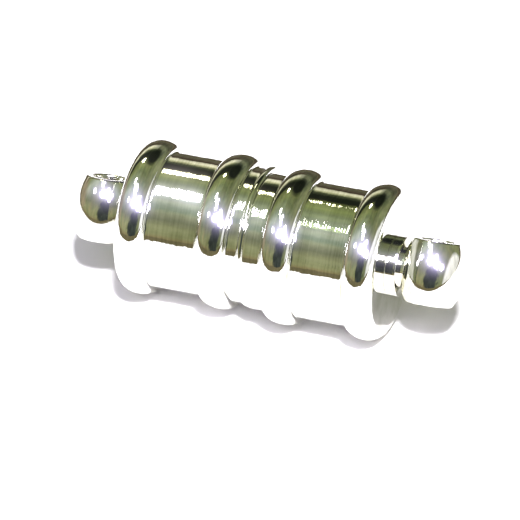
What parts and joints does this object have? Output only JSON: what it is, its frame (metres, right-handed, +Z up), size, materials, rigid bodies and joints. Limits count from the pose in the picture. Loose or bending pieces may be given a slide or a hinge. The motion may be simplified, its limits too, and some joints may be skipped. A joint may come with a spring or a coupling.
{
  "type": "magnetic barrel clasp",
  "caption": "Closed magnetic barrel clasp for a necklace or bracelet: ringed, mirror-polished halves joined by disc magnets, with a pierced loop at each end.",
  "frame": {"origin": "on the surface that the clasp lies on, under the middle of its bounding box, between the two halves", "axes": "+X runs along the clasp from the left half to the right half, +Y points away from the picture's camera side, +Z is up"},
  "size_m": [0.0183, 0.0072, 0.0069],
  "materials": {
    "polished_silver_plate": "mirror-polished silver plate on turned brass",
    "polished_silver_loop": "mirror-polished silver plate on turned brass",
    "nickel_plate": "satin nickel plate on a sintered magnet"
  },
  "bodies": {
    "left_half": {"left_shell": "polished_silver_plate", "left_magnet": "nickel_plate", "left_loop": "polished_silver_loop"},
    "right_half": {"right_shell": "polished_silver_plate", "right_magnet": "nickel_plate", "right_loop": "polished_silver_loop"}
  },
  "joints": [
    {"name": "pull_apart", "type": "slide", "parent": "left_half", "child": "right_half", "axis": [1, 0, 0], "range_m": [0, 0.01]}
  ]
}
